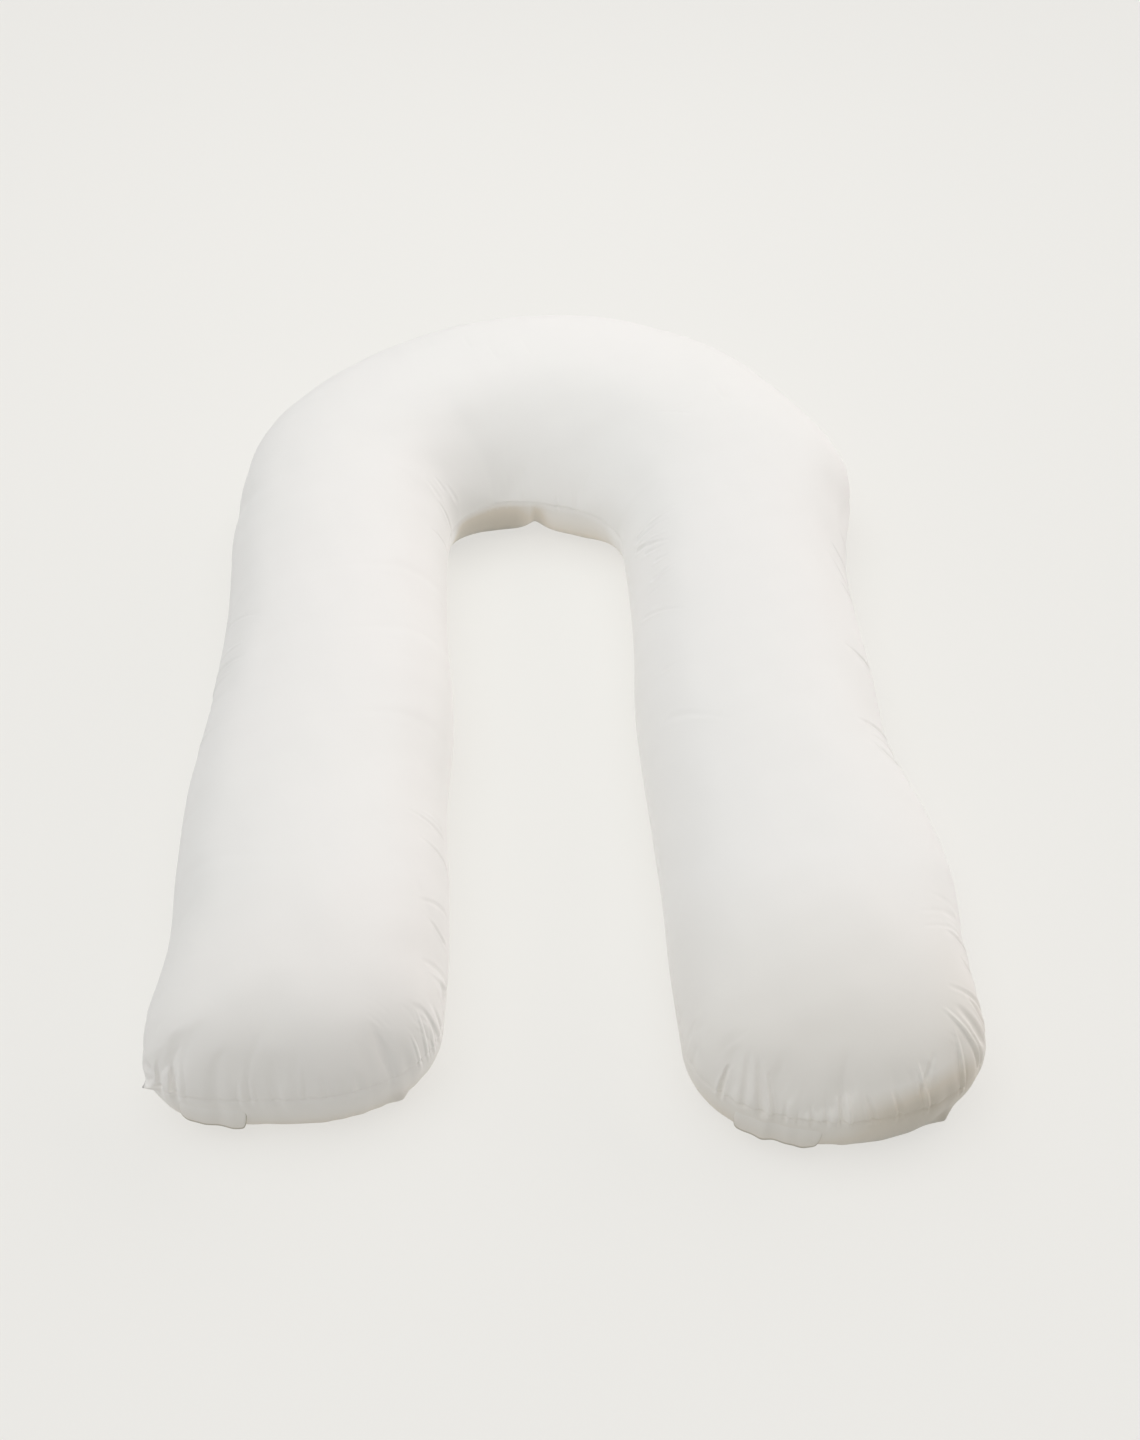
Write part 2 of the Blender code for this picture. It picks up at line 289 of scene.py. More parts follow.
def easeTipsIn(cloth, sections, panelLayer):
    # heights are averaged along the leg, so that no line shows where its straight turns into the tip
    surface = BVHTree.FromBMesh(cloth)
    reach, span, lastPlace, fade = cover["easing"]
    steps = [span * k / 4 for k in range(-4, 5)]
    for section in (sections[0], sections[-1]):
        startY = (section[1] + section[3]) / 2
        sameLeg = [v for v in cloth.verts if v.co.x * section[0] > 0 and abs(v.co.y - startY) < reach]
        for vert in [v for v in sameLeg if v[panelLayer] < lastPlace]:
            nearness = (1 - ((vert.co.y - startY) / reach) ** 2) ** 2
            share = nearness * min(1, (lastPlace - vert[panelLayer]) / fade)
            above = [Vector((vert.co.x, vert.co.y + step, 1)) for step in steps]
            hits = [surface.ray_cast(place, Vector((0, 0, -1)))[0] for place in above]
            heights = [hit.z if hit else cover["legSeam"][0] for hit in hits]
            vert.co.z = mix(vert.co.z, sum(heights) / len(heights), share)


def cutPlace(ray, column, ringIndex):
    # where a point lies in the flat cut, so that the weave runs straight down the pillow and isn't stretched
    middle = Vector(ray[0:2])
    out = (Vector(ray[2:4]) - middle).normalized()
    walked = sum((column[k + 1] - column[k]).length for k in range(ringIndex))
    return middle + out * walked


def finishPiece(name, made):
    mesh = bpy.data.meshes.new(name)
    made.to_mesh(mesh)
    made.free()
    mesh.shade_smooth()
    piece = bpy.data.objects.new(name, mesh)
    bpy.context.scene.collection.objects.link(piece)
    return piece


def readPoints(mesh):
    points = np.empty(len(mesh.vertices) * 3)
    mesh.vertices.foreach_get("co", points)
    return points.reshape(-1, 3)


def writePoints(mesh, points):
    mesh.vertices.foreach_set("co", points.ravel())
    mesh.update()


def readNormals(mesh):
    normals = np.empty(len(mesh.vertices) * 3)
    mesh.vertex_normals.foreach_get("vector", normals)
    return normals.reshape(-1, 3)


def readLayer(mesh, name):
    values = np.empty(len(mesh.vertices))
    mesh.attributes[name].data.foreach_get("value", values)
    return values


def surfaceTree(mesh):
    return BVHTree.FromPolygons([v.co for v in mesh.vertices], [tuple(f.vertices) for f in mesh.polygons])


def rampUp(values, ramp):
    # 0 up to the ramp's start, then evenly up to 1 over its span
    start, span = ramp
    return np.clip((values - start) / span, 0, 1)


def wavesOver(points, seed, count, waveRange):
    # a sum of waves that run across the plan in random directions
    rng = np.random.default_rng(seed)
    total = np.zeros(len(points))
    for _ in range(count):
        direction, wave, phase = rng.uniform(0, math.tau), rng.uniform(*waveRange), rng.uniform(0, math.tau)
        across = points[:, 0] * math.cos(direction) + points[:, 1] * math.sin(direction)
        total += np.sin(wave * across + phase)
    return total


# Creases in the upper panel, seen from above. Each one fades towards its far end:
# from x, from y, to x, to y in metres, then width and depth in millimetres. A negative depth is a ridge.
creases = {
    "rightTip": [  # gathered into the seam, from the inner corner round to the outer side
        (0.163, -0.657, 0.171, -0.644, 4.0, 2.4),
        (0.186, -0.670, 0.190, -0.640, 6.5, 1.4),
        (0.203, -0.681, 0.199, -0.642, 5.5, 1.7),
        (0.212, -0.685, 0.205, -0.648, 3.5, -1.1),
        (0.226, -0.692, 0.227, -0.678, 4.0, 1.6),
        (0.240, -0.694, 0.239, -0.684, 3.5, 0.9),
        (0.255, -0.694, 0.251, -0.684, 4.0, 1.5),
        (0.270, -0.696, 0.265, -0.681, 4.0, 1.3),
        (0.284, -0.696, 0.281, -0.676, 4.0, 2.0),
        (0.292, -0.696, 0.287, -0.672, 3.5, -1.5),
        (0.318, -0.694, 0.306, -0.678, 4.5, 1.5),
        (0.346, -0.688, 0.333, -0.672, 4.5, 1.4),
        (0.373, -0.676, 0.358, -0.652, 3.5, -1.3),
        (0.366, -0.670, 0.379, -0.640, 4.5, 1.5),
    ],
    "rightTipOutside": [
        (0.414, -0.652, 0.398, -0.616, 3.5, -1.5),
        (0.430, -0.627, 0.388, -0.602, 4.0, -2.0),
        (0.432, -0.612, 0.403, -0.596, 7.0, 1.6),
        (0.440, -0.594, 0.415, -0.580, 4.0, 1.3),
        (0.442, -0.577, 0.396, -0.579, 4.5, 1.8),
        (0.442, -0.540, 0.418, -0.534, 4.5, 2.2),
        (0.438, -0.508, 0.404, -0.511, 4.5, 2.2),
        (0.435, -0.491, 0.374, -0.520, 4.0, 0.8),
        (0.423, -0.477, 0.372, -0.502, 5.0, 0.5),
        (0.430, -0.462, 0.390, -0.470, 5.0, 0.4),
    ],
    "leftTip": [
        (-0.414, -0.650, -0.413, -0.634, 5.0, 2.2),
        (-0.397, -0.656, -0.397, -0.638, 5.0, 2.8),
        (-0.388, -0.657, -0.388, -0.640, 4.0, -0.8),
        (-0.326, -0.664, -0.325, -0.658, 4.0, -0.9),
        (-0.318, -0.664, -0.318, -0.656, 4.0, 0.9),
        (-0.288, -0.666, -0.298, -0.662, 4.0, 0.9),
        (-0.265, -0.662, -0.263, -0.652, 4.0, -0.5),
        (-0.240, -0.664, -0.242, -0.654, 5.0, 0.5),
        (-0.207, -0.654, -0.201, -0.650, 6.0, 1.2),
        (-0.173, -0.644, -0.181, -0.632, 4.0, 0.4),
        (-0.147, -0.618, -0.155, -0.610, 2.5, -0.8),
        (-0.140, -0.608, -0.150, -0.587, 2.5, -1.0),
        (-0.133, -0.600, -0.138, -0.587, 2.5, -0.9),
        (-0.131, -0.590, -0.143, -0.584, 4.0, 0.7),
    ],
    "leftTipInside": [
        (-0.127, -0.578, -0.136, -0.568, 4.0, 0.8),
        (-0.125, -0.545, -0.128, -0.530, 4.5, 2.2),
        (-0.124, -0.526, -0.142, -0.540, 3.5, -1.2),
        (-0.124, -0.516, -0.148, -0.534, 4.5, 1.2),
    ],
    "leftLegInside": [
        (-0.129, -0.478, -0.147, -0.472, 3.5, 1.4),
        (-0.128, -0.440, -0.158, -0.464, 3.5, 0.9),
        (-0.131, -0.369, -0.158, -0.372, 3.5, 1.5),
        (-0.137, -0.336, -0.173, -0.342, 3.5, 1.1),
        (-0.138, -0.322, -0.160, -0.330, 3.5, -0.7),
        (-0.143, 0.060, -0.170, 0.050, 4.0, 0.4),
        (-0.156, 0.192, -0.176, 0.180, 3.0, 0.9),
    ],
    "leftLegOutside": [
        (-0.428, 0.016, -0.396, 0.045, 3.0, 0.7),
        (-0.426, 0.004, -0.372, -0.033, 3.5, 0.8),
        (-0.426, -0.050, -0.384, -0.073, 4.0, -0.9),
        (-0.434, -0.072, -0.384, -0.099, 4.0, 1.5),
        (-0.440, -0.088, -0.402, -0.110, 4.5, -1.3),
        (-0.440, -0.122, -0.404, -0.150, 8.0, 1.0),
        (-0.438, -0.199, -0.402, -0.208, 4.0, 1.4),
        (-0.442, -0.325, -0.410, -0.330, 6.0, 0.5),
    ],
    "rightLegInside": [
        (0.104, 0.172, 0.162, 0.176, 3.5, -1.4),
        (0.103, 0.164, 0.152, 0.158, 3.5, 1.1),
        (0.104, 0.151, 0.146, 0.134, 3.5, -1.4),
        (0.104, 0.146, 0.145, 0.116, 3.5, 1.4),
        (0.112, 0.126, 0.138, 0.112, 3.5, 1.2),
        (0.124, 0.096, 0.144, 0.091, 3.5, 1.1),
        (0.120, 0.066, 0.152, 0.068, 3.5, 1.2),
        (0.116, 0.046, 0.147, 0.042, 3.0, 0.4),
        (0.108, 0.014, 0.157, -0.023, 3.5, 1.1),
        (0.124, -0.109, 0.143, -0.111, 4.0, 0.5),
        (0.130, -0.192, 0.202, -0.228, 7.0, 0.7),
    ],
    "rightLegOutside": [
        (0.384, 0.116, 0.354, 0.141, 3.5, 2.2),
        (0.376, 0.078, 0.347, 0.113, 3.5, 1.5),
        (0.392, 0.168, 0.372, 0.190, 3.5, 1.6),
        (0.382, 0.102, 0.354, 0.126, 2.5, -0.8),
        (0.384, 0.056, 0.358, 0.070, 3.5, 2.0),
        (0.388, -0.072, 0.345, -0.074, 3.5, 1.9),
        (0.396, -0.192, 0.347, -0.212, 4.5, 2.6),
        (0.400, -0.214, 0.358, -0.228, 4.0, -1.6),
        (0.406, -0.262, 0.358, -0.243, 5.0, 3.2),
    ],
    "bend": [
        (-0.162, 0.268, -0.176, 0.277, 4.0, 0.5),
        (-0.148, 0.272, -0.160, 0.278, 4.5, 0.5),
        (-0.154, 0.240, -0.168, 0.242, 4.0, 0.6),
        (-0.168, 0.251, -0.186, 0.262, 5.0, 0.5),
        (-0.048, 0.298, -0.054, 0.328, 7.0, 0.5),
        (-0.005, 0.290, -0.007, 0.300, 3.5, 0.5),
        (-0.092, 0.286, -0.101, 0.318, 8.0, 0.4),
        (-0.070, 0.295, -0.078, 0.325, 8.0, 0.4),
        (0.022, 0.284, 0.024, 0.306, 7.0, 0.35),
        (-0.132, 0.523, -0.149, 0.574, 3.5, 0.35),
        (-0.092, 0.494, -0.118, 0.553, 3.5, 0.35),
        (-0.044, 0.504, -0.064, 0.563, 3.5, 0.30),
        (0.180, 0.358, 0.116, 0.373, 3.5, 0.35),
        (0.182, 0.381, 0.149, 0.368, 3.0, 0.40),
        (0.229, 0.397, 0.210, 0.447, 4.0, 0.30),
    ],
    "acrossLeftLeg": [
        (-0.164, 0.076, -0.330, 0.027, 12.0, 0.3),
        (-0.160, -0.042, -0.318, -0.086, 12.0, 0.3),
        (-0.154, -0.188, -0.314, -0.232, 12.0, 0.3),
        (-0.410, -0.420, -0.250, -0.440, 14.0, 0.3),
    ],
}


def creaseDepths(points, panel, groups):
    # a valley with raised shoulders for each crease; they are gone just under the seam
    depths = np.zeros(len(points))
    for group in groups:
        for fromX, fromY, toX, toY, width, depth in creases[group]:
            start = np.array([fromX, fromY])
            run = np.array([toX, toY]) - start
            reach = np.linalg.norm(run) + 4 * width * millimetre
            near = np.flatnonzero(np.abs(points[:, :2] - start - run / 2).max(axis=1) < reach)
            along = np.clip((points[near, :2] - start) @ run / (run @ run), 0, 1)
            aside = points[near, :2] - start - along[:, None] * run
            off = np.linalg.norm(aside, axis=1) / (0.6 * width * millimetre * (1 - 0.35 * along))
            profile = np.exp(-off**2) - 0.40 * np.exp(-1.4 * (off - 2.0) ** 2)
            depths[near] += depth * millimetre * (1 - along**2) * profile
    return depths * np.clip((1.06 - panel) / 0.06, 0, 1)


def fillCover(piece):
    # the fibre pushes the cover out between its seam and its underside, which stay where they are
    mesh = piece.data
    sewn = readPoints(mesh)
    panel = readLayer(mesh, "panel")
    tip = readLayer(mesh, "tip")
    bend = readLayer(mesh, "bend")
    bySeam = np.clip(1 - np.abs(panel - 1) / np.where(panel < 1, filling["gathered"], 0.5), 0, 1)
    waveCount, waveRange, height = filling["ripple"]
    seeded = height * wavesOver(sewn, filling["seed"], waveCount, waveRange) * bySeam * tip
    seeded -= creaseDepths(sewn, panel, ("rightTip", "rightTipOutside", "leftTip", "leftTipInside"))
    start = sewn + readNormals(mesh) * seeded[:, None]
    # the seam, the underside and the wall of the inner bend are held
    held = (np.abs(panel - 1) < 1e-4) | (panel > 1.499) | ((panel > 1) & (bend > 0.2))
    start[held] = sewn[held]
    writePoints(mesh, start)
    pinned = piece.vertex_groups.new(name="pinned")
    pinned.add([int(i) for i in np.flatnonzero(held)], 1, "REPLACE")
    ease = filling["legEase"] + (filling["tipEase"] - filling["legEase"]) * tip * bySeam
    most = float(ease.max())
    spare = piece.vertex_groups.new(name="spare")
    for i, value in enumerate(ease / most):
        spare.add([i], float(value), "REPLACE")
    swell = piece.modifiers.new("swell", "CLOTH")
    settings = swell.settings
    settings.quality = 6
    settings.mass = 0.15
    settings.tension_stiffness = 40
    settings.compression_stiffness = 40
    settings.shear_stiffness = 5
    settings.bending_stiffness = 0.005
    settings.air_damping = 1
    settings.vertex_group_mass = "pinned"
    settings.pin_stiffness = 1
    settings.use_pressure = True
    settings.uniform_pressure_force = filling["pressure"]
    settings.vertex_group_shrink = "spare"
    settings.shrink_min = 0
    settings.shrink_max = -most
    settings.effector_weights.gravity = 0
    swell.collision_settings.use_collision = False
    swell.point_cache.frame_end = filling["frames"] + 1
    for frameNumber in range(1, filling["frames"] + 1):
        bpy.context.scene.frame_set(frameNumber)
    evaluated = piece.evaluated_get(bpy.context.evaluated_depsgraph_get())
    swollen = readPoints(evaluated.to_mesh())
    evaluated.to_mesh_clear()
    piece.modifiers.remove(swell)
    bpy.context.scene.frame_set(1)
    move = swollen - sewn
    length = np.maximum(np.linalg.norm(move, axis=1), 1e-9)
    most = filling["mostMove"]
    kept, free = filling["crownKept"]
    share = rampUp(panel, (kept, free - kept))
    settled = sewn + move * (share * most * np.tanh(length / most) / length)[:, None]
    settled[:, 2] = np.maximum(settled[:, 2], 0)
    writePoints(mesh, settled)
    piece.vertex_groups.clear()
    moved = np.linalg.norm(settled - sewn, axis=1)
    print("cover filled, points moved by up to %.1f mm" % (moved.max() / millimetre))


def subdivideOnce(piece):
    finer = piece.modifiers.new("finer", "SUBSURF")
    finer.levels = finer.render_levels = 1
    evaluated = piece.evaluated_get(bpy.context.evaluated_depsgraph_get())
    mesh = bpy.data.meshes.new_from_object(evaluated)
    piece.modifiers.remove(finer)
    piece.data = mesh
    mesh.name = piece.name
    mesh.shade_smooth()


def refineCreases(piece):
    # a finer mesh only where creases run
    mesh = piece.data
    depths = creaseDepths(readPoints(mesh), readLayer(mesh, "panel"), creases)
    fine = bmesh.new()
    fine.from_mesh(mesh)
    fine.verts.ensure_lookup_table()
    creased = set(np.flatnonzero(np.abs(depths) > 0.00004).tolist())
    edges = [e for e in fine.edges if e.verts[0].index in creased or e.verts[1].index in creased]
    bmesh.ops.subdivide_edges(fine, edges=edges, cuts=2, use_grid_fill=True)
    fine.to_mesh(mesh)
    fine.free()
    mesh.shade_smooth()


# Where the corners of the two panels stand out as small ears: x, y, z, towards (degrees), reach and spread.
# A negative reach is the dent over one.
ears = [
    (-0.426, -0.644, 0.068, 207, 0.013, 0.014),
    (-0.428, -0.632, 0.084, 200, -0.006, 0.016),
    (-0.166, -0.646, 0.020, 312, 0.009, 0.021),
    (0.401, -0.664, 0.020, 316, 0.009, 0.022),
]


def shapeByHand(piece):
    # creases, the line of the seam, soft unevenness and the ears, on the fine mesh
    mesh = piece.data
    points, panel = readPoints(mesh), readLayer(mesh, "panel")
    depths = creaseDepths(points, panel, creases)
    grooveDepth, grooveWidth = cover["seamGroove"]
    depths += grooveDepth * np.exp(-((panel - 1) / grooveWidth) ** 2)
    waveCount, waveRange, height = filling["uneven"]
    uneven = wavesOver(points, filling["seed"] + 1, waveCount, waveRange)
    depths += height * uneven * np.clip((0.97 - panel) / 0.1, 0, 1)
    points -= readNormals(mesh) * depths[:, None]
    tree = surfaceTree(mesh)
    for x, y, z, towards, reach, spread in ears:
        centre = np.array(tree.find_nearest(Vector((x, y, z)))[0])
        nearness = np.clip(1 - np.linalg.norm((points - centre) * (1, 1, 1.6), axis=1) / spread, 0, 1) ** 1.7
        out = np.array([math.cos(math.radians(towards)), math.sin(math.radians(towards)), -0.1])
        points += reach * nearness[:, None] * out
    points[:, 2] = np.maximum(points[:, 2], 0)
    writePoints(mesh, points)


# How deep the cloth lies in warm shade, from 0 to 1. The lamps throw hardly any, so this is painted shade,
# painted into the percale's colour.
# A ramp is where it starts and its span: across the pillow, down the legs or in the panels.
shade = {
    "leftWall": 0.03,                 # left of its gather the wall of the inner bend turns dark over this
    "gather": 0.9,
    "darkWall": (0.10, 0.86, 1.6),    # at the seam, how much more towards the foot, and how soon
    "paleWall": (0.03, 0.42, 1.5),    # the same on the rest of the wall, with a power for how soon
    "foot": ((0.6, 0.3), 0.35),       # ramp down the wall, and depth
    "intoBend": (0.1, 0.3),
    "tip": (0.43, 0.2),               # ramp down the legs
    "leftTip": 0.35,                  # as a share of the right tip's
    "tipDepth": (0.10, 0.09),         # on the crown, and how much more along the next ramp
    "tipEdge": (0.9, 0.3),
    "corner": ((0.37, 0.07), (0.50, 0.10), 0.07),       # outer corner of the right tip: two ramps, and depth
    "underCorner": ((0.70, 0.2), (0.28, 0.08), (0.62, 0.04), 0.36),
    "underSeam": (1, 0.03),
    "underside": 0.5,
}


def paintedShadeDepths(points, panel, bend):
    # painted shade, most at the foot of the inner bend, left of its gather
    x, down = points[:, 0], -points[:, 1]
    lowness = np.clip(1 - points[:, 2] / cover["bendSeam"][0], 0, 1)
    gatherX, gatherWidth = cover["bendGather"][:2]
    leftWall = np.clip((gatherX - x) / shade["leftWall"], 0, 1)
    gather = shade["gather"] * np.exp(-((x - gatherX) / gatherWidth) ** 2)
    atSeam, atFoot, soon = shade["darkWall"]
    dark = atSeam + atFoot * (1 - np.exp(-soon * lowness))
    atSeam, atFoot, power = shade["paleWall"]
    inBend = mix(atSeam + atFoot * lowness**power, dark, np.maximum(leftWall, gather))
    footRamp, footDepth = shade["foot"]
    inBend += footDepth * rampUp(lowness, footRamp) ** 2
    byTip = rampUp(down, shade["tip"]) * np.where(x > 0, 1, shade["leftTip"])
    acrossRamp, downRamp, cornerDepth = shade["corner"]
    byCorner = rampUp(x, acrossRamp) * rampUp(down, downRamp)
    panelRamp, acrossRamp, downRamp, underDepth = shade["underCorner"]
    underCorner = rampUp(panel, panelRamp) * rampUp(x, acrossRamp) * rampUp(down, downRamp)
    underSeam = rampUp(panel, shade["underSeam"])
    onCrown, atEdge = shade["tipDepth"]
    elsewhere = byTip * (onCrown + atEdge * rampUp(panel, shade["tipEdge"]))
    elsewhere += underSeam * shade["underside"] * lowness**3
    elsewhere += cornerDepth * byCorner + underDepth * underCorner
    return mix(elsewhere, underSeam * inBend, rampUp(bend, shade["intoBend"]))


def markCover(piece):
    # the two attributes that the percale reads: painted shade, and nearness to the seam
    mesh = piece.data
    panel = readLayer(mesh, "panel")
    paintedShade = paintedShadeDepths(readPoints(mesh), panel, readLayer(mesh, "bend"))
    bySeam = np.exp(-((panel - 1) / cover["puckerReach"]) ** 2)
    for name, values in (("paintedShade", paintedShade), ("bySeam", bySeam)):
        layer = mesh.attributes.new(name, "FLOAT", "POINT")
        layer.data.foreach_set("value", np.clip(values, 0, 1))


# The openings that the fibre went in through. Each is closed with a folded hem, which hangs from just under
# the seam of its tip and stands a little off the wall, and two rows of topstitching.
closing = {
    # edge: the height of its two lower corners; shade: how deep the painted shade on its front is
    "left": {"tip": "leftTip", "degrees": (231, 254.8), "edge": (0.032, 0.0200), "shade": 0.03},
    "right": {"tip": "rightTip", "degrees": (228, 262.5), "edge": (0.028, 0.0245), "shade": 0.10},
    # painted shade on the hem, from 0 to 1:
    "paintedShades": (0.9, 0.5, 0.12),       # of the lower edge, of the back, and more towards the edge on the front
    "top": 0.058,
    "thickness": 0.0026,
    "stand": 0.0022,                  # off the wall at its lower edge, beyond where it hangs straight down
    "sunk": (0.0018, 0.0012),         # into the wall, at its upper edge and at its two ends
    "ripple": 0.0009,
    "endPower": 16,                   # more: its two ends are squarer
    "edgePower": 24,                  # more: its lower edge is less rounded
    "stations": 90,
    "cut": (0.09, 0.0015),            # length of the flat strip, and the step from ring to ring across it
    "rows": (0.0030, 0.0062),         # rows of stitches, up from the lower edge
    "rowEnds": (0.035, 0.965),
    "rowSteps": 400,
    "rowDent": (0.40, 0.0007),        # how much of its thickness a row takes, and over what width
    "stitch": 2.6 * millimetre,
    "stitchGap": 1.1 * millimetre,
    "thread": 0.46 * millimetre,
    "seed": 3,
}
hemSteps = [k / 18 for k in range(17)] + [0.95, 0.985, 1]
hemLoop = [(u, 1) for u in hemSteps] + [(u, -1) for u in hemSteps[::-1]]


def rippleAlong(rng):
    waves = [(rng.uniform(12, 34), rng.uniform(0, math.tau)) for _ in range(4)]
    return lambda share: sum(math.sin(wave * share + phase) for wave, phase in waves) / 4


def hemPlacer(side, section, tree, planShift):
    # gives places on the hem: share along it, share down it or metres up from its edge, and face
    lip = closing[side]
    rng = np.random.default_rng(closing["seed"] + len(side))
    rise, sway = rippleAlong(rng), rippleAlong(rng)
    dent, dentWidth = closing["rowDent"]
    sunkAtTop, sunkAtEnds = closing["sunk"]

    def place(share, down, face, fromEdge=None):
        ray = tipRay(section, lip["tip"], mix(*lip["degrees"], share))
        middle = Vector((ray[0], ray[1], closing["top"])) + planShift
        out = Vector((ray[2] - ray[0], ray[3] - ray[1], 0)).normalized()
        wall = tree.ray_cast(middle, out)[0]
        end = max(1 - abs(2 * share - 1) ** closing["endPower"], 0)
        drop = (closing["top"] - mix(*lip["edge"], share)) * math.sqrt(end)
        drop += 0.5 * closing["ripple"] * rise(share) * end
        if fromEdge is not None:
            down = 1 - fromEdge / max(drop, fromEdge)
        rounded = math.sqrt(max(1 - down ** closing["edgePower"], 0))
        thick = closing["thickness"] / 2 * end**0.25 * rounded
        for row in closing["rows"]:
            thick *= 1 - dent * math.exp(-(((1 - down) * drop - row) / dentWidth) ** 2)
        clear = (closing["stand"] + closing["ripple"] * sway(share)) * down**2 * end
        sunk = sunkAtTop * (1 - down) ** 3 + sunkAtEnds * (1 - end)
        return wall + out * (clear - sunk + face * thick) - Vector((0, 0, drop * down))

    return place


def makeHem(side, place):
    stations, around = closing["stations"], len(hemLoop)
    onEdge, onBack, towardsEdge = closing["paintedShades"]
    cutLength, cutStep = closing["cut"]
    hem = bmesh.new()
    cutMap = hem.loops.layers.uv.new("clothCut")
    paintedShade = hem.verts.layers.float.new("paintedShade")
    bmesh.ops.create_grid(hem, x_segments=stations, y_segments=around, size=0.5)
    flat = {}
    for vert in hem.verts:
        station = round((vert.co.x + 0.5) * stations)
        share = 0.5 - 0.5 * math.cos(math.pi * station / stations)
        k = round((vert.co.y + 0.5) * around)
        down, face = hemLoop[k % around]
        vert.co = place(share, down, face)
        # painted shade: most along the lower edge, less on the back, and on the front growing towards the
        # lower edge
        front = closing[side]["shade"] + towardsEdge * down
        vert[paintedShade] = onEdge if down > 0.94 else onBack if face < 0 else front
        flat[vert] = (share * cutLength, k * cutStep)
    for face in hem.faces:
        for loop in face.loops:
            loop[cutMap].uv = flat[loop.vert]
    bmesh.ops.remove_doubles(hem, verts=hem.verts, dist=weldDistance)
    bmesh.ops.dissolve_degenerate(hem, edges=hem.edges, dist=weldDistance)
    bmesh.ops.recalc_face_normals(hem, faces=hem.faces)
    return finishPiece("closing_hem_" + side, hem)


def sewStitch(thread, start, end):
    # one stitch of thread, a small flattened bead that lies between two needle holes
    along = end - start
    turn = along.to_track_quat("X", "Z").to_matrix().to_4x4()
    size = Matrix.Diagonal((along.length / 2, closing["thread"] / 2, closing["thread"] / 2.6, 1))
    bmesh.ops.create_uvsphere(thread, u_segments=6, v_segments=4, radius=1,
                              matrix=Matrix.Translation((start + end) / 2) @ turn @ size)


def sewRow(thread, pointAt):
    # stitches of one length along a line of points
    first, last = closing["rowEnds"]
    count = closing["rowSteps"]
    steps = [pointAt(mix(first, last, k / count)) for k in range(count + 1)]
    walked = [0.0]
    for before, after in zip(steps, steps[1:]):
        walked.append(walked[-1] + (after - before).length)
    pitch = closing["stitch"] + closing["stitchGap"]
    for k in range(int(walked[-1] / pitch)):
        ends = [k * pitch, k * pitch + closing["stitch"]]
        marks = [int(np.searchsorted(walked, end)) for end in ends]
        sewStitch(thread, steps[marks[0]], steps[marks[1]])


def makeTopstitching(side, place):
    thread = bmesh.new()
    for row in closing["rows"]:
        for face in (1, -1):
            sewRow(thread, lambda share: place(share, 0, face, fromEdge=row))
    return finishPiece("topstitching_" + side, thread)


def linear(hexColour):
    # sRGB hex to the linear values that Blender's sockets take
    channels = [int(hexColour[i:i + 2], 16) / 255 for i in (1, 3, 5)]
    return [c / 12.92 if c <= 0.04045 else ((c + 0.055) / 1.055) ** 2.4 for c in channels] + [1]


def addNode(tree, kind, settings=None, links=None):
    # settings: attributes, or inputs by their name or number; links: input from (node, output)
    node = tree.nodes.new(kind)
    for key, value in (settings or {}).items():
        if isinstance(key, str) and hasattr(node, key):
            setattr(node, key, value)
        else:
            node.inputs[key].default_value = value
    for key, (source, output) in (links or {}).items():
        tree.links.new(source.outputs[output], node.inputs[key])
    return node


# Cotton percale: a close plain weave, washed and pressed. The eye sees a matt, slightly silky white whose
# folds have soft edges, with a faint warm and cool drift in it and no visible thread from a metre away.
percale = {
    "white": "#F4F2F0",
    "shadeWhite": "#F0F0ED",
    # painted shade: the tone of the same cotton in the warm shade of the pillow, multiplied into its colour:
    # how deep in it, and the light that is left
    "paintedShades": [(0, "#FFFFFF"), (0.33, "#E7E0D5"), (1, "#ADA89C")],
    "roughness": 0.66,
    "sheen": 0.25,
    "driftScale": 3.5,
    "threadPitch": 1.1 * millimetre,   # the real one is about 0.3 mm, drawn coarser so that it shows close up
    "weaveDepth": 0.05 * millimetre,
    "crumpleScale": 45.0,
    "crumpleDepth": 0.6 * millimetre,
    "puckerScale": 75.0,               # the seam draws the cloth into small puckers, about 13 mm apart
    "puckerDepth": 1.6 * millimetre,
}

# The same cotton folded double and pressed hard for the hems, where its threads lie closer
hemPercale = dict(percale, threadPitch=0.8 * millimetre)

# Spun polyester sewing thread: fine, with a slight gloss, and its twist just shows as it catches the light
sewingThread = {
    "colour": "#DEDBD1",
    "roughness": 0.5,
    "sheen": 0.3,
    "twistPitch": 0.5 * millimetre,
    "twistDepth": 0.1 * millimetre,
}


def bandScale(pitch):
    # the scale at which the bands of a wave texture lie one pitch apart
    return math.tau / 20 / pitch


def makeThread(look):
    material = bpy.data.materials.new("spunPolyesterThread")
    material.use_nodes = True
    tree = material.node_tree
    shader = tree.nodes["Principled BSDF"]
    shader.inputs["Base Color"].default_value = linear(look["colour"])
    shader.inputs["Roughness"].default_value = look["roughness"]
    shader.inputs["Sheen Weight"].default_value = look["sheen"]
    place = addNode(tree, "ShaderNodeTexCoord")
    twist = addNode(tree, "ShaderNodeTexWave",
                    {"bands_direction": "DIAGONAL", "Scale": bandScale(look["twistPitch"])},
                    {"Vector": (place, "Object")})
    bump = addNode(tree, "ShaderNodeBump", {"Strength": 0.6, "Distance": look["twistDepth"]},
                   {"Height": (twist, "Fac")})
    tree.links.new(bump.outputs["Normal"], shader.inputs["Normal"])
    return material


